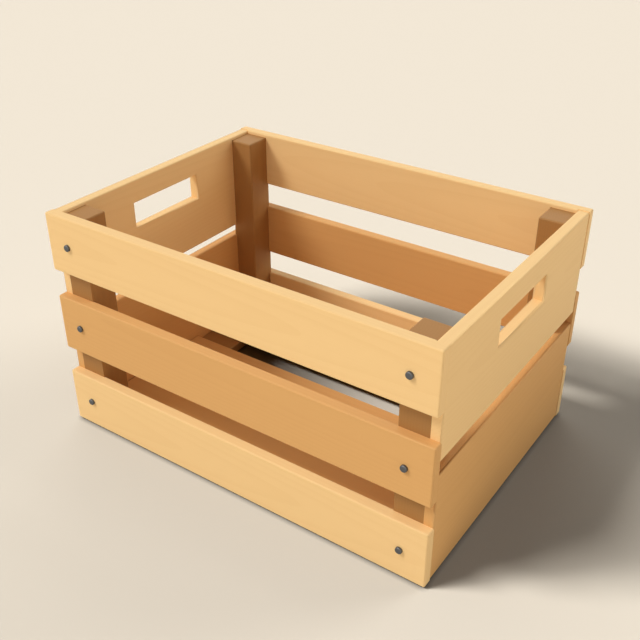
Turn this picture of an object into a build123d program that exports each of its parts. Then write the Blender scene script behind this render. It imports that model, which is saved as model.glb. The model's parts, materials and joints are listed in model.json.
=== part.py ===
from build123d import *
import os

# Slatted wooden crate in millimetres: X along the crate, Y from front to back, Z up from the ground.

# Driving dimensions: the slatted long sides
crate_length = 504.0
crate_width = 359.8
slat_names = ("bottom", "middle", "top")
slat_height = 72.4
slat_gap = 34.1
slat_thickness = 13.5
slat_ground_clearance = 2.0
edge_round = 2.0

# Driving dimensions: the boarded ends
end_board_thickness = 13.8
end_board_inset = 0.5
lower_board_bottom = 3.2
lower_board_height = 138.5
end_board_gap = 15.2
end_rim_drop = 0.9
hand_hole_length = 114.4
hand_hole_height = 33.4
hand_hole_below_rim = 29.0

# Driving dimensions: corner posts, let into the slats and end boards, and the floor on its bearers
post_width = 34.0
post_depth = 36.6
post_rim_drop = 4.5
seat_depth = 2.2
bearer_width = 54.0
bearer_thickness = 13.0
floor_board_names = ("front", "middle", "back")
floor_board_width = 66.6
floor_board_thickness = 8.0
floor_clearance = 1.0

# Driving dimensions: nails, dowels and screws
slat_nail_head_diameter = 8.0
slat_nail_head_height = 3.0
slat_nail_head_round = 1.0
slat_nail_diameter = 3.2
slat_nail_length = 40.0
slat_nail_from_end = 31.0
floor_nail_head_diameter = 5.5
floor_nail_head_height = 1.0
floor_nail_head_round = 0.4
floor_nail_diameter = 1.8
floor_nail_length = 17.0
floor_nail_sink = 0.4
nail_point_ratio = 1.5
nail_tip_radius = 0.3
dowel_diameter = 8.0
dowel_length = 30.0
dowel_depth_in_board = 8.0
dowel_chamfer = 0.8
dowel_height_shares = (0.15, 0.85)
screw_head_diameter = 8.0
screw_head_height = 3.0
screw_diameter = 4.0
screw_length = 35.0
screw_sink = 0.4
screw_slot_width = 1.0
screw_slot_depth = 1.0
screw_from_post_face = 8.0

# Heights worked out from the slats
slat_pitch = slat_height + slat_gap
slat_bottoms = [slat_ground_clearance + i * slat_pitch for i in range(len(slat_names))]
rim_height = slat_bottoms[-1] + slat_height
lower_board_top = lower_board_bottom + lower_board_height
upper_board_bottom = lower_board_top + end_board_gap
upper_board_top = rim_height - end_rim_drop
hand_hole_centre = upper_board_top - hand_hole_below_rim - hand_hole_height / 2
post_top = rim_height - post_rim_drop
floor_top = bearer_thickness + floor_board_thickness

# Half distances across the crate, and the middle of a post at the back
end_outer_face = crate_length / 2 - end_board_inset
inside_x = end_outer_face - end_board_thickness
inside_y = crate_width / 2 - slat_thickness
seat_x = inside_x + seat_depth
seat_y = inside_y + seat_depth
post_y = seat_y - post_depth / 2

# Floor boards spaced evenly between the front and back posts
floor_half_width = seat_y - post_depth - floor_clearance
floor_board_pitch = floor_half_width - floor_board_width / 2

end_sides = {"left": -1, "right": 1}
long_sides = {"front": -1, "back": 1}
upward = (Align.CENTER, Align.CENTER, Align.MIN)
downward = (Align.CENTER, Align.CENTER, Align.MAX)


def bar(x_range, y_range, z_range):
    """A straight square-edged bar of wood between three pairs of planes."""
    spans = (x_range, y_range, z_range)
    sizes = [abs(b - a) for a, b in spans]
    middle = [(a + b) / 2 for a, b in spans]
    return Pos(*middle) * Box(*sizes)


def nail(head_diameter, head_height, head_round, diameter, length):
    """A round nail along Z, point down, with the underside of its flat head at the origin."""
    point_length = nail_point_ratio * diameter
    shank_length = length - point_length
    head = Cylinder(head_diameter / 2, head_height, align=upward)
    head = fillet(head.edges().sort_by(Axis.Z)[-1], head_round)
    shank = Cylinder(diameter / 2, shank_length, align=downward)
    point = Cone(nail_tip_radius, diameter / 2, point_length, align=downward)
    return head + shank + Pos(0, 0, -shank_length) * point


def slat_nails(side):
    """The six nails of one long side, halfway up its slats, heads on the outside and points in the posts."""
    head = (slat_nail_head_diameter, slat_nail_head_height, slat_nail_head_round)
    one = nail(*head, slat_nail_diameter, slat_nail_length)
    inward = Rot(X=-90 * side)
    nail_x = crate_length / 2 - slat_nail_from_end
    heights = [bottom + slat_height / 2 for bottom in slat_bottoms]
    return [Pos(x, side * crate_width / 2, z) * inward * one for z in heights for x in (-nail_x, nail_x)]


def end_dowels(side):
    """The blind dowels of one end: two for each board at each post."""
    one = Cylinder(dowel_diameter / 2, dowel_length, rotation=(0, 90, 0))
    one = chamfer(one.edges().filter_by(GeomType.CIRCLE), dowel_chamfer)
    middle_x = side * (seat_x + dowel_depth_in_board - dowel_length / 2)
    boards = ((lower_board_bottom, lower_board_top), (upper_board_bottom, upper_board_top))
    heights = [low + share * (high - low) for low, high in boards for share in dowel_height_shares]
    return [Pos(middle_x, y, z) * one for y in (-post_y, post_y) for z in heights]


def floor_board_centres():
    """Where the middle of each floor board lies across the crate."""
    return [-floor_board_pitch, 0, floor_board_pitch]


def floor_nail():
    """A small nail along Z, point up, with the flat of its head at the origin."""
    head = (floor_nail_head_diameter, floor_nail_head_height, floor_nail_head_round)
    one = nail(*head, floor_nail_diameter, floor_nail_length)
    return Pos(0, 0, floor_nail_head_height) * Rot(X=180) * one


def floor_nail_hole():
    """The hole for one floor nail, running out through the underside of the bearer."""
    mouth = Cylinder(floor_nail_head_diameter / 2, floor_nail_sink + floor_nail_head_round, align=upward)
    return floor_nail() + Pos(0, 0, -floor_nail_sink) * mouth


def at_floor_board_ends(shape):
    """Two copies of the shape under each end of each floor board, in one even row along the bearer."""
    x = inside_x - bearer_width / 2
    quarter = floor_board_pitch / 4
    rows = [centre + sign * quarter for centre in floor_board_centres() for sign in (-1, 1)]
    return [Pos(side * x, y, floor_nail_sink) * shape for side in end_sides.values() for y in rows]


def screw():
    """A countersunk wood screw along Z, the slotted face of its head at the origin, point up."""
    head = Cone(screw_head_diameter / 2, screw_diameter / 2, screw_head_height, align=upward)
    shank = Cylinder(screw_diameter / 2, screw_length, align=upward)
    slot = Box(screw_head_diameter, screw_slot_width, screw_slot_depth, align=upward)
    return head + shank - slot


def screw_hole():
    """The countersunk hole for one screw, running out through the underside of the bearer."""
    sink = Cone(screw_head_diameter / 2, screw_diameter / 2, screw_head_height, align=upward)
    bore = Cylinder(screw_diameter / 2, screw_length, align=upward)
    mouth = Cylinder(screw_head_diameter / 2, screw_sink, align=downward)
    return sink + bore + mouth


def at_post_feet(shape):
    """A copy of the shape under the foot of each post, clear of the dowels and nails in it."""
    x = seat_x - post_width + screw_from_post_face
    corners = [(sx, sy) for sx in end_sides.values() for sy in long_sides.values()]
    return [Pos(sx * x, sy * post_y, screw_sink) * shape for sx, sy in corners]


def bored(piece, fasteners):
    """The piece with a tight hole for each fastener that reaches into it."""
    box = piece.bounding_box()
    for fastener in fasteners:
        other = fastener.bounding_box()
        apart = any(
            low > other_high or other_low > high
            for low, high, other_low, other_high in zip(box.min, box.max, other.min, other.max)
        )
        if not apart:
            piece = piece - fastener
    return piece


def square_post(side_x, side_y):
    """One corner post before its edges are eased, the shape that the boards are cut out for."""
    x_range = (side_x * (seat_x - post_width), side_x * seat_x)
    y_range = (side_y * (seat_y - post_depth), side_y * seat_y)
    return bar(x_range, y_range, (bearer_thickness, post_top))


def post(side_x, side_y):
    """One corner post, with the three edges that meet at its inward top corner eased."""
    wood = square_post(side_x, side_y)
    return fillet(wood.edges().sort_by_distance((0, 0, post_top))[:3], edge_round)


def slat(side, bottom):
    """One long slat, eased all round and cut back inside for the end boards and the posts."""
    half = crate_length / 2
    y_range = (side * inside_y, side * crate_width / 2)
    any_height = (-rim_height, 2 * rim_height)
    wood = bar((-half, half), y_range, (bottom, bottom + slat_height))
    wood = fillet(wood.edges(), edge_round)
    for end in end_sides.values():
        end_space = bar((end * inside_x, end * crate_length), (-seat_y, seat_y), any_height)
        wood = wood - end_space - square_post(end, side)
    return wood


def end_board(side, bottom, top):
    """A board across one end, eased lengthwise and at its outer corners, cut out for the posts."""
    wood = bar((side * inside_x, side * end_outer_face), (-seat_y, seat_y), (bottom, top))
    lengthwise = wood.edges().filter_by(Axis.Y)
    outer_corners = wood.edges().filter_by(Axis.Z).sort_by(Axis.X, reverse=side < 0)[2:]
    wood = fillet(lengthwise + outer_corners, edge_round)
    return wood - square_post(side, -1) - square_post(side, 1)


def upper_end_board(side):
    """The top board of one end, with an eased rectangular hand hole right through it."""
    board = end_board(side, upper_board_bottom, upper_board_top)
    hole = Box(2 * end_outer_face, hand_hole_length, hand_hole_height)
    board = board - Pos(side * end_outer_face, 0, hand_hole_centre) * hole
    broad_faces = [face for face in board.faces().filter_by(Axis.X) if face.inner_wires()]
    mouth = [edge for face in broad_faces for edge in face.inner_wires()[0].edges()]
    return fillet(mouth, edge_round)


def floor_bearer(side):
    """The flat bar across one end, on the ground, that carries the floor boards and the posts."""
    x_range = (side * (inside_x - bearer_width), side * inside_x)
    wood = bar(x_range, (-inside_y, inside_y), (0, bearer_thickness))
    return fillet(wood.edges(), edge_round)


def floor_board(centre_y):
    """One board of the floor, along the crate from bearer to bearer."""
    end = inside_x - floor_clearance
    y_range = (centre_y - floor_board_width / 2, centre_y + floor_board_width / 2)
    wood = bar((-end, end), y_range, (bearer_thickness, floor_top))
    return fillet(wood.edges(), edge_round)


# Fasteners, one group of separate solids for each kind and side
nails_of = {name: slat_nails(side) for name, side in long_sides.items()}
dowels_of = {name: end_dowels(side) for name, side in end_sides.items()}
holes_for_floor_nails = at_floor_board_ends(floor_nail_hole())
holes_for_screws = at_post_feet(screw_hole())

parts = {}
for side_name, side in long_sides.items():
    for slat_name, bottom in zip(slat_names, slat_bottoms):
        parts[f"{side_name}_{slat_name}_slat"] = bored(slat(side, bottom), nails_of[side_name])
    parts[f"{side_name}_slat_nails"] = Compound(nails_of[side_name])

for end_name, side in end_sides.items():
    lower_board = end_board(side, lower_board_bottom, lower_board_top)
    parts[f"{end_name}_lower_end_board"] = bored(lower_board, dowels_of[end_name])
    parts[f"{end_name}_upper_end_board"] = bored(upper_end_board(side), dowels_of[end_name])
    parts[f"{end_name}_end_dowels"] = Compound(dowels_of[end_name])
    parts[f"{end_name}_floor_bearer"] = bored(floor_bearer(side), holes_for_floor_nails + holes_for_screws)
    for side_name, side_y in long_sides.items():
        in_post = nails_of[side_name] + dowels_of[end_name] + holes_for_screws
        parts[f"{side_name}_{end_name}_post"] = bored(post(side, side_y), in_post)

for board_name, centre_y in zip(floor_board_names, floor_board_centres()):
    parts[f"{board_name}_floor_board"] = bored(floor_board(centre_y), holes_for_floor_nails)
parts["floor_board_nails"] = Compound(at_floor_board_ends(floor_nail()))
parts["bearer_screws"] = Compound(at_post_feet(screw()))

os.makedirs("parts", exist_ok=True)
for name, shape in parts.items():
    export_step(shape, f"parts/{name}.step")
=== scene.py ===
import json
import math
import random
import bmesh
import bpy
from mathutils import Euler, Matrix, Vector


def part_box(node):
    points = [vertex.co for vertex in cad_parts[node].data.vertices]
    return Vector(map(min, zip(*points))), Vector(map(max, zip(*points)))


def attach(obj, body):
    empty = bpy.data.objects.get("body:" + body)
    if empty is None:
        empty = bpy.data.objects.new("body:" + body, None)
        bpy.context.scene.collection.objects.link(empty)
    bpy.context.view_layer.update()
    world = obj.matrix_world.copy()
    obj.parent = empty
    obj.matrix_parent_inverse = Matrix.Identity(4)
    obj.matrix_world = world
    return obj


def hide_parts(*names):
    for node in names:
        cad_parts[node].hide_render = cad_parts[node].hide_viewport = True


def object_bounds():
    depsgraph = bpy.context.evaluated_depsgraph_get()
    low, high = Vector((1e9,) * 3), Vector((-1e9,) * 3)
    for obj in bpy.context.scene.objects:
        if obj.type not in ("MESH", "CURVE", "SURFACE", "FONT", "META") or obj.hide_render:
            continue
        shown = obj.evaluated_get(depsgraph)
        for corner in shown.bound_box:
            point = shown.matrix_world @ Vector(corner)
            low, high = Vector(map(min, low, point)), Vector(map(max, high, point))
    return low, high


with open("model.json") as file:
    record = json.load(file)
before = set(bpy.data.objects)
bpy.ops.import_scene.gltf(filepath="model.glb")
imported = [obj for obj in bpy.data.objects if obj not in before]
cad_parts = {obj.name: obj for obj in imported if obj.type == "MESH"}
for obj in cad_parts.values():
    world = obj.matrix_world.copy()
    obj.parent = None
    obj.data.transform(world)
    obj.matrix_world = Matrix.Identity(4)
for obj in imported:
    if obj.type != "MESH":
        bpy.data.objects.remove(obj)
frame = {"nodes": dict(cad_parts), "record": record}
cad_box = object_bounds()
scene = bpy.context.scene
scene.view_settings.view_transform = "Standard"

MM = 0.001

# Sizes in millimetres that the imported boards' boxes don't give
edge_round = 2.0
hand_hole_length = 114.4
hand_hole_height = 33.4
hand_hole_below_rim = 29.0
slat_nail = {"head": 8.0, "proud": 3.0, "shank": 3.2, "length": 40.0, "rim": 1.0, "crown": 0.15}
floor_nail = {"head": 5.5, "proud": 1.0, "shank": 1.8, "length": 17.0, "rim": 0.4, "crown": 0.1}
nail_point_ratio = 1.5

# Fineness of the meshes, and the bend from which an edge stays sharp
round_steps = 4
nail_sides = 32
sharp_from = math.radians(30)
nail_sharp_from = math.radians(40)

# Points this close are one point, and a point this close to a plane lies in it
same_point = 0.001 * MM
same_plane = 0.01 * MM


def linear(hex_colour):
    """An sRGB hex colour as the linear RGBA that Blender's sockets take."""
    levels = [int(hex_colour[i:i + 2], 16) / 255 for i in (0, 2, 4)]
    return (*[v / 12.92 if v <= 0.04045 else ((v + 0.055) / 1.055) ** 2.4 for v in levels], 1.0)


def add(tree, kind, inputs=None, **settings):
    """Adds one node. Its inputs, by name or number, are plain values or other nodes' outputs."""
    made = tree.nodes.new(kind)
    for key, value in settings.items():
        setattr(made, key, value)
    for key, value in (inputs or {}).items():
        if isinstance(value, bpy.types.NodeSocket):
            tree.links.new(value, made.inputs[key])
        else:
            made.inputs[key].default_value = value
    return made


# Camera at the photograph's viewpoint, solved from the edges of the boards
camera_data = bpy.data.cameras.new("photo_camera")
camera_data.lens = 50
camera_data.sensor_width = 36
camera = bpy.data.objects.new("photo_camera", camera_data)
camera.location = Vector((524.21, -758.10, 696.23)) * MM
camera.rotation_euler = (math.radians(59.05), 0, math.radians(34.68))
scene.collection.objects.link(camera)
scene.camera = camera


def towards(turn, rise):
    """The direction this many degrees round from the front towards the right end, and up from level."""
    turn, rise = math.radians(turn), math.radians(rise)
    level = Vector((math.sin(turn), -math.cos(turn), 0)) * math.cos(rise)
    return level + Vector((0, 0, math.sin(rise)))


# Light from broad lamps far away, each turned from the front towards the right end, risen from level
# and spread, in degrees. A lamp of level 1, square on to a surface, shows its colour as written.
# The paper has lamps of its own. It is written darker than it looks and lit more strongly, so that
# little of the crate's warm light shows on it.
crate_lamps = {
    "key": {"turn": -50, "rise": 48, "spread": 20, "level": 0.62},
    "front": {"turn": 0, "rise": 8, "spread": 40, "level": 0.16},
    "right": {"turn": 120, "rise": 8, "spread": 40, "level": 0.18},
    "back_right": {"turn": 150, "rise": 30, "spread": 40, "level": 0.11},
    "back_left": {"turn": 210, "rise": 30, "spread": 40, "level": 0.12},
    "dome": {"turn": 0, "rise": 90, "spread": 170, "level": 0.31},
}
paper_lamps = {
    "paper_key_high": {"turn": -42, "rise": 51, "spread": 14, "level": 1.76},
    "paper_key_low": {"turn": -54, "rise": 42, "spread": 14, "level": 2.89},
    "paper_back_right": {"turn": 150, "rise": 10, "spread": 40, "level": 2.72},
    "paper_back_left": {"turn": 210, "rise": 20, "spread": 40, "level": 0.71},
    "paper_left": {"turn": 240, "rise": 10, "spread": 40, "level": 0.80},
}
backdrop_colour = "f2e8d5"
paper_colour = "7f796f"
floor_reach = 30.0

# Painted shade on the paper, darkening its colour near what stands there: its reach from it, in
# millimetres, and what it leaves of the colour
painted_paper_shades = {
    "at_the_foot": {"reach": 6, "darkest": 0.2},
    "round_about": {"reach": 250, "darkest": 0.83},
}
painted_shade_samples = 8

floor_mesh = bpy.data.meshes.new("studio_floor")
corners = [(-1, -1, 0), (1, -1, 0), (1, 1, 0), (-1, 1, 0)]
floor_mesh.from_pydata([Vector(corner) * floor_reach for corner in corners], [], [(0, 1, 2, 3)])
floor = bpy.data.objects.new("studio_floor", floor_mesh)
scene.collection.objects.link(floor)
floor_material = bpy.data.materials.new("studio_paper")
floor_material.use_nodes = True
paper = floor_material.node_tree
paper.nodes.clear()
# Ambient occlusion darkens the paper's colour: painted shade at the crate's foot and round about it
paper_with_painted_shade = linear(paper_colour)[:3]
for values in painted_paper_shades.values():
    clear = add(paper, "ShaderNodeAmbientOcclusion", {"Distance": values["reach"] * MM},
                samples=painted_shade_samples)
    light = add(paper, "ShaderNodeMapRange", {
        "Value": clear.outputs["AO"], "To Min": values["darkest"], "To Max": 1.0})
    darkened = add(paper, "ShaderNodeVectorMath", {0: paper_with_painted_shade, "Scale": light.outputs[0]},
                   operation="SCALE")
    paper_with_painted_shade = darkened.outputs[0]
matt = add(paper, "ShaderNodeBsdfDiffuse", {"Color": paper_with_painted_shade})
add(paper, "ShaderNodeOutputMaterial", {"Surface": matt.outputs[0]})
floor_mesh.materials.append(floor_material)


def hang_lamps(lamps, paper_state):
    """Hangs the lamps, which light either the paper alone or everything but the paper."""
    lit = bpy.data.collections.new(f"paper_{paper_state.lower()}")
    lit.objects.link(floor)
    lit.collection_objects[0].light_linking.link_state = paper_state
    for name, values in lamps.items():
        lamp = bpy.data.lights.new(name, "SUN")
        lamp.energy = values["level"] * math.pi
        lamp.angle = math.radians(values["spread"])
        hung = bpy.data.objects.new(name, lamp)
        to_lamp = towards(values["turn"], values["rise"])
        hung.rotation_euler = to_lamp.to_track_quat("Z", "Y").to_euler()
        hung.light_linking.receiver_collection = lit
        scene.collection.objects.link(hung)


hang_lamps(crate_lamps, "EXCLUDE")
hang_lamps(paper_lamps, "INCLUDE")

# Only the camera and reflections see the backdrop, so it adds no light
world = bpy.data.worlds.new("studio")
scene.world = world
world.use_nodes = True
sky = world.node_tree
path = add(sky, "ShaderNodeLightPath").outputs
mirrored = add(sky, "ShaderNodeMath", {0: path["Is Glossy Ray"], 1: path["Is Transmission Ray"]},
               operation="MAXIMUM")
seen = add(sky, "ShaderNodeMath", {0: path["Is Camera Ray"], 1: mirrored.outputs[0]},
           operation="MAXIMUM")
backdrop = sky.nodes["Background"]
backdrop.inputs["Color"].default_value = linear(backdrop_colour)
sky.links.new(seen.outputs[0], backdrop.inputs["Strength"])

# The pattern of the wood and the steel: sizes in millimetres, how far rings are drawn out along the log,
# and each part's share of the wood's tone. Real fibres are a few hundredths of a millimetre wide, so they
# are drawn wider to show at all.
fibre_length = 40.0
fibre_width = 1.2
patch_size = 45.0
ring_drawn_out = 0.12
fibre_share = 0.45
ring_share = 0.35
patch_share = 0.20
wood_relief = 0.05
steel_mark_size = 1.5
steel_relief = 0.1


def wood(name, pale, deep, ring_mm, roughness):
    """Planed wood: growth rings round the log's heart, fibres along it and broad patches, close in tone."""
    material = bpy.data.materials.new(name)
    material.use_nodes = True
    tree = material.node_tree
    shader = tree.nodes["Principled BSDF"]
    timber = add(tree, "ShaderNodeAttribute", attribute_name="timber").outputs["Vector"]
    drawn_out = add(tree, "ShaderNodeMapping", {"Vector": timber, "Scale": (ring_drawn_out, 1, 1)})
    # The wave texture repeats each tau / 20 of its scaled length
    rings = add(tree, "ShaderNodeTexWave", {
        "Vector": drawn_out.outputs[0], "Scale": math.tau / 20 / (ring_mm * MM), "Distortion": 3.0,
        "Detail": 2.0, "Detail Scale": 0.3, "Detail Roughness": 0.5},
        wave_type="RINGS", rings_direction="X", wave_profile="SAW")
    late_wood = add(tree, "ShaderNodeMapRange", {
        "Value": rings.outputs["Fac"], "From Min": 0.35, "From Max": 1.0}, interpolation_type="SMOOTHSTEP")
    along, across = 1 / (fibre_length * MM), 1 / (fibre_width * MM)
    along_fibres = add(tree, "ShaderNodeMapping", {"Vector": timber, "Scale": (along, across, across)})
    fibres = add(tree, "ShaderNodeTexNoise", {
        "Vector": along_fibres.outputs[0], "Scale": 1.0, "Detail": 2.0})
    patches = add(tree, "ShaderNodeTexNoise", {
        "Vector": drawn_out.outputs[0], "Scale": 1 / (patch_size * MM), "Detail": 1.0})
    tone = 0.0
    for part, share in ((fibres, fibre_share), (late_wood, ring_share), (patches, patch_share)):
        summed = add(tree, "ShaderNodeMath", {0: part.outputs[0], 1: share, 2: tone},
                     operation="MULTIPLY_ADD")
        tone = summed.outputs[0]
    # Sockets 6 and 7 are the two colours
    colour = add(tree, "ShaderNodeMix", {"Factor": tone, 6: linear(pale), 7: linear(deep)},
                 data_type="RGBA")
    tree.links.new(colour.outputs[2], shader.inputs["Base Color"])
    relief = add(tree, "ShaderNodeBump", {"Height": tone, "Strength": 0.3, "Distance": wood_relief * MM})
    tree.links.new(relief.outputs[0], shader.inputs["Normal"])
    shader.inputs["Roughness"].default_value = roughness
    shader.inputs["Specular IOR Level"].default_value = 0.2
    return material


def steel(name, colour):
    """Dull wire steel: grey, with the faint unevenness that drawing and hammering leave."""
    material = bpy.data.materials.new(name)
    material.use_nodes = True
    tree = material.node_tree
    shader = tree.nodes["Principled BSDF"]
    place = add(tree, "ShaderNodeTexCoord").outputs["Object"]
    marks = add(tree, "ShaderNodeTexNoise", {
        "Vector": place, "Scale": 1 / (steel_mark_size * MM), "Detail": 2.0}).outputs["Fac"]
    dull = add(tree, "ShaderNodeMapRange", {"Value": marks, "To Min": 0.4, "To Max": 0.6})
    tree.links.new(dull.outputs[0], shader.inputs["Roughness"])
    relief = add(tree, "ShaderNodeBump", {"Height": marks, "Strength": 0.4, "Distance": steel_relief * MM})
    tree.links.new(relief.outputs[0], shader.inputs["Normal"])
    shader.inputs["Base Color"].default_value = linear(colour)
    shader.inputs["Metallic"].default_value = 1.0
    return material


material_of = {
    "pale_pine": wood("planed_pale_pine", "fcd394", "f7cc8d", ring_mm=4.0, roughness=0.6),
    "tan_pine": wood("planed_tan_pine", "e4af6d", "dfa867", ring_mm=4.0, roughness=0.6),
    "brown_wood": wood("stained_brown_pine", "ae7e48", "a77844", ring_mm=3.0, roughness=0.55),
    "dowel_beech": wood("turned_beech", "dcb98c", "d3ae7e", ring_mm=2.0, roughness=0.6),
    "dark_steel": steel("dull_wire_steel", "64676c"),
}
slot_of = {part["node"]: part["material_slot"] for part in frame["record"]["subparts"]}


def new_tree(name, sockets):
    """A node tree that gives geometry, and the sockets of its named inputs."""
    tree = bpy.data.node_groups.new(name, "GeometryNodeTree")
    tree.interface.new_socket("Geometry", in_out="OUTPUT", socket_type="NodeSocketGeometry")
    for socket, kind in sockets.items():
        tree.interface.new_socket(socket, in_out="INPUT", socket_type=f"NodeSocket{kind}")
    return tree, tree.nodes.new("NodeGroupInput").outputs


def end_tree(tree, geometry, material):
    """Makes real mesh of what the tree gives, in its material, and hands it out."""
    real = add(tree, "GeometryNodeRealizeInstances", {"Geometry": geometry})
    dressed = add(tree, "GeometryNodeSetMaterial", {"Geometry": real.outputs[0], "Material": material})
    add(tree, "NodeGroupOutput", {"Geometry": dressed.outputs[0]})


def cut_board_tree():
    """A square-edged board between two corners, less the blocks that take up room in it."""
    tree, given = new_tree("cut_board", {
        "Blocks": "Geometry", "Low": "Vector", "High": "Vector", "Material": "Material"})
    span = add(tree, "ShaderNodeVectorMath", {0: given["High"], 1: given["Low"]},
               operation="SUBTRACT").outputs[0]
    middle = add(tree, "ShaderNodeVectorMath", {0: span, 1: (0.5, 0.5, 0.5), 2: given["Low"]},
                 operation="MULTIPLY_ADD").outputs[0]
    block = add(tree, "GeometryNodeMeshCube", {"Size": span})
    placed = add(tree, "GeometryNodeTransform", {
        "Geometry": block.outputs["Mesh"], "Translation": middle})
    cut = add(tree, "GeometryNodeMeshBoolean", {
        "Mesh 1": placed.outputs[0], "Mesh 2": given["Blocks"], "Self Intersection": True},
        operation="DIFFERENCE", solver="EXACT")
    end_tree(tree, cut.outputs["Mesh"], given["Material"])
    return tree


def set_out_tree():
    """Copies of one piece in columns and rows, turned and moved to their place as a group."""
    tree, given = new_tree("set_out_in_rows", {
        "Piece": "Geometry", "Columns": "Int", "Rows": "Int", "Width": "Float", "Height": "Float",
        "Turn": "Vector", "Middle": "Vector", "Material": "Material"})
    grid = add(tree, "GeometryNodeMeshGrid", {
        "Size X": given["Width"], "Size Y": given["Height"], "Vertices X": given["Columns"],
        "Vertices Y": given["Rows"]})
    copies = add(tree, "GeometryNodeInstanceOnPoints", {
        "Points": grid.outputs["Mesh"], "Instance": given["Piece"]})
    placed = add(tree, "GeometryNodeTransform", {
        "Geometry": copies.outputs[0], "Translation": given["Middle"], "Rotation": given["Turn"]})
    end_tree(tree, placed.outputs[0], given["Material"])
    return tree


def plain_mesh(piece):
    """Replaces what the piece's modifiers give by a plain mesh of it."""
    evaluated = piece.evaluated_get(bpy.context.evaluated_depsgraph_get())
    mesh = bpy.data.meshes.new_from_object(evaluated)
    piece.modifiers.clear()
    piece.data = mesh
    mesh.name = piece.name


def grow(name, tree, values, start):
    """An object whose mesh is what the tree makes of the start mesh and these inputs."""
    piece = bpy.data.objects.new(name, start)
    scene.collection.objects.link(piece)
    modifier = piece.modifiers.new(tree.name, "NODES")
    modifier.node_group = tree
    for socket in tree.interface.items_tree:
        if socket.in_out == "INPUT" and socket.name in values:
            modifier[socket.identifier] = values[socket.name]
    plain_mesh(piece)
    return piece


def lay_in_timber(piece, node):
    """Stores each point's place in the log it was sawn from: x along the log, y and z from its heart."""
    low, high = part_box(node)
    middle = (low + high) / 2
    length_first = sorted(range(3), key=lambda axis: low[axis] - high[axis])
    chance = random.Random(node)
    lean = Euler((0, math.radians(chance.uniform(-1.5, 1.5)), math.radians(chance.uniform(-1.0, 1.0))))
    from_heart = Vector((chance.uniform(0, 2000), chance.uniform(-25, 25), chance.uniform(35, 80))) * MM
    places = []
    for vertex in piece.data.vertices:
        place = Vector([vertex.co[axis] - middle[axis] for axis in length_first])
        place.rotate(lean)
        places.extend(place + from_heart)
    piece.data.attributes.new("timber", "FLOAT_VECTOR", "POINT").data.foreach_set("vector", places)


def join_crate(piece, node):
    """The piece joins the crate's root and stands for this part of the crate, whose own mesh is hidden."""
    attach(piece, "root")
    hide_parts(node)


def blocks(name, boxes):
    """One mesh of separate blocks, each between two corners."""
    form = bmesh.new()
    for low, high in boxes:
        for vertex in bmesh.ops.create_cube(form, size=1)["verts"]:
            vertex.co = [(a + b) / 2 + share * (b - a) for a, b, share in zip(low, high, vertex.co)]
    mesh = bpy.data.meshes.new(name)
    form.to_mesh(mesh)
    form.free()
    return mesh


def ease_edges(piece, low, high, is_eased):
    """Rounds the edges that the rule picks, told which planes of the board's own box each one lies in."""
    form = bmesh.new()
    form.from_mesh(piece.data)
    weight = form.edges.layers.float.new("bevel_weight_edge")
    for edge in form.edges:
        planes = {
            letter + sign
            for axis, letter in enumerate("xyz")
            for sign, level in (("-", low[axis]), ("+", high[axis]))
            if all(abs(vertex.co[axis] - level) < same_plane for vertex in edge.verts)}
        edge[weight] = float(is_eased(planes, edge))
        edge.smooth = edge[weight] > 0 or edge.calc_face_angle() < sharp_from
    for face in form.faces:
        face.smooth = True
    form.to_mesh(piece.data)
    form.free()
    bevel = piece.modifiers.new("eased_edges", "BEVEL")
    bevel.limit_method = "WEIGHT"
    bevel.width = edge_round * MM
    bevel.segments = round_steps
    bevel.harden_normals = True
    bevel.loop_slide = False
    plain_mesh(piece)


def dress_board(node, room, is_eased):
    """A planed board in the node's place: cut out for the boxes in room, eased, and laid in its log."""
    low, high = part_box(node)
    board = grow(f"planed_{node}", cut_board, {
        "Low": low, "High": high, "Material": material_of[slot_of[node]]}, blocks(node, room))
    ease_edges(board, low, high, is_eased)
    lay_in_timber(board, node)
    join_crate(board, node)


# A cut runs on this far past the wood
past = 20 * MM
cut_board = cut_board_tree()
sides = {"front": -1, "back": 1}
ends = {"left": -1, "right": 1}


def box_edges(planes, edge):
    """Every edge of the board's own box is eased, and no edge of a cut."""
    return len(planes) == 2


# Slats, cut back inside for the end boards and the posts
for side in sides:
    for level in ("top", "middle", "bottom"):
        room = []
        for end, sign in ends.items():
            low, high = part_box(f"{end}_upper_end_board")
            inner = low.x if sign > 0 else high.x
            x_low, x_high = sorted((inner, sign * (cad_box[1][0] + past)))
            room.append(((x_low, low.y, -past), (x_high, high.y, cad_box[1][2] + past)))
            room.append(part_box(f"{side}_{end}_post"))
        dress_board(f"{side}_{level}_slat", room, box_edges)

# Posts, eased where they face the inside of the crate and the top
for side, side_sign in sides.items():
    for end, end_sign in ends.items():
        open_faces = {"x-" if end_sign > 0 else "x+", "y-" if side_sign > 0 else "y+", "z+"}
        dress_board(f"{side}_{end}_post", [],
                    lambda planes, edge: len(planes) == 2 and planes <= open_faces)

# Floor boards, eased all round
for place in ("front", "middle", "back"):
    dress_board(f"{place}_floor_board", [], box_edges)


def end_board_edges(outer):
    """The rule for one end's boards: lengthwise edges, outer corners, and the mouths of a hand hole."""
    def is_eased(planes, edge):
        at_hole = all(abs(vertex.co.y) < hand_hole_length * MM for vertex in edge.verts)
        if len(planes) == 1:
            return at_hole and planes <= {"x-", "x+"}
        return len(planes) == 2 and (outer in planes or not planes & {"y-", "y+"})
    return is_eased


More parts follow.
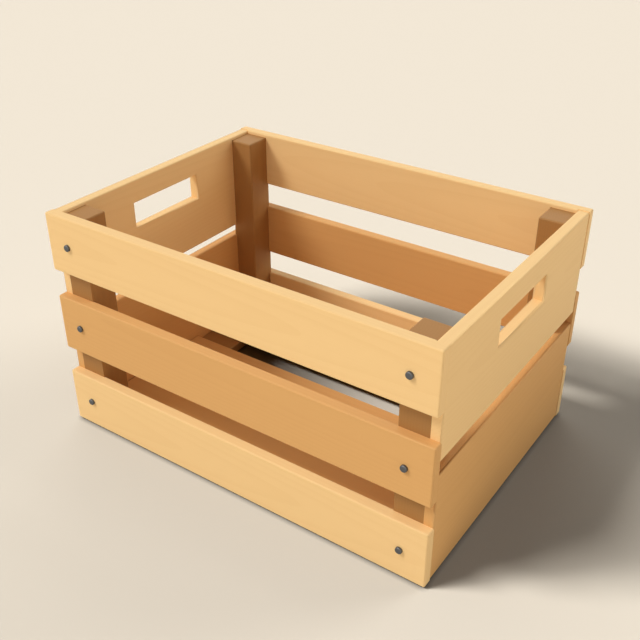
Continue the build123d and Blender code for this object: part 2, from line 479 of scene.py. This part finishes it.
# End boards, cut out for the posts. The upper ones have a hand hole, with its mouths eased.
for end, sign in ends.items():
    posts = []
    for side, side_sign in sides.items():
        low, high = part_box(f"{side}_{end}_post")
        y_low, y_high = (low.y - past, high.y) if side_sign < 0 else (low.y, high.y + past)
        posts.append(((low.x, y_low, low.z), (high.x, y_high, high.z)))
    for level in ("lower", "upper"):
        node = f"{end}_{level}_end_board"
        low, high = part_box(node)
        room = list(posts)
        if level == "upper":
            hole_top = high.z - hand_hole_below_rim * MM
            hole_bottom = hole_top - hand_hole_height * MM
            half = hand_hole_length / 2 * MM
            room.append(((low.x - past, -half, hole_bottom), (high.x + past, half, hole_top)))
        dress_board(node, room, end_board_edges("x+" if sign > 0 else "x-"))


def solid_copy(name, node):
    """A merged copy of a solid's own mesh, smooth on its roundings and sharp at its holes' rims."""
    mesh = frame["nodes"][node].data.copy()
    form = bmesh.new()
    form.from_mesh(mesh)
    bmesh.ops.remove_doubles(form, verts=form.verts, dist=same_point)
    for face in form.faces:
        face.smooth = True
    for edge in form.edges:
        edge.smooth = edge.calc_face_angle() < sharp_from
    form.to_mesh(mesh)
    form.free()
    mesh.materials.clear()
    mesh.materials.append(material_of[slot_of[node]])
    piece = bpy.data.objects.new(name, mesh)
    scene.collection.objects.link(piece)
    level = piece.modifiers.new("flat_faces_stay_flat", "WEIGHTED_NORMAL")
    level.keep_sharp = True
    plain_mesh(piece)
    return piece


# Floor bearers with their countersunk holes, and the blind dowels
for end in ends:
    kept_shapes = {
        f"bored_{end}_floor_bearer": f"{end}_floor_bearer",
        f"turned_{end}_dowels": f"{end}_end_dowels",
    }
    for name, node in kept_shapes.items():
        piece = solid_copy(name, node)
        lay_in_timber(piece, node)
        join_crate(piece, node)


def one_nail(name, size):
    """A round nail turned from its outline, standing on its point, its head's underside at the origin."""
    head, shank = size["head"] / 2, size["shank"] / 2
    top, rim, crown = size["proud"], size["rim"], size["crown"]
    tip = -size["length"]
    shoulder = tip + nail_point_ratio * size["shank"]
    # The top of the head falls a little towards its rim
    outline = [(0, top), (head * 0.6, top - crown * 0.4)]
    for step in range(round_steps + 1):
        turn = step / round_steps * math.pi / 2
        outline.append((head - rim + rim * math.sin(turn), top - crown - rim + rim * math.cos(turn)))
    outline += [(head, 0), (shank, 0), (shank, shoulder), (0, tip)]
    form = bmesh.new()
    line = [form.verts.new((x * MM, 0, z * MM)) for x, z in outline]
    edges = [form.edges.new(pair) for pair in zip(line, line[1:])]
    bmesh.ops.spin(form, geom=line + edges, cent=(0, 0, 0), axis=(0, 0, 1), angle=math.tau,
                   steps=nail_sides, use_merge=True)
    bmesh.ops.remove_doubles(form, verts=form.verts, dist=same_point)
    bmesh.ops.recalc_face_normals(form, faces=form.faces)
    for face in form.faces:
        face.smooth = True
    for edge in form.edges:
        edge.smooth = edge.calc_face_angle() < nail_sharp_from
    mesh = bpy.data.meshes.new(name)
    form.to_mesh(mesh)
    form.free()
    return mesh


def drive_nails(name, node, size, rows, turn, axis, side):
    """Nails in even rows where the node has them, turned about X, heads to one side of an axis."""
    low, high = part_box(node)
    middle = (low + high) / 2
    heads = low if side < 0 else high
    middle[axis] = heads[axis] - side * size["proud"] * MM
    across = 1 if axis == 2 else 2
    nails = grow(name, set_out, {
        "Columns": 2, "Rows": rows, "Width": high.x - low.x - size["head"] * MM,
        "Height": high[across] - low[across] - size["head"] * MM, "Turn": (math.radians(turn), 0, 0),
        "Middle": middle, "Material": material_of["dark_steel"]}, one_nail(name, size))
    join_crate(nails, node)


# Nails: three rows of two in each long side, and six rows of two up through the floor bearers
set_out = set_out_tree()
drive_nails("front_wire_nails", "front_slat_nails", slat_nail, rows=3, turn=90, axis=1, side=-1)
drive_nails("back_wire_nails", "back_slat_nails", slat_nail, rows=3, turn=-90, axis=1, side=1)
drive_nails("floor_wire_nails", "floor_board_nails", floor_nail, rows=6, turn=180, axis=2, side=-1)

# Screws keep their solids' shape
for slot in frame["nodes"]["bearer_screws"].material_slots:
    slot.material = material_of[slot_of["bearer_screws"]]
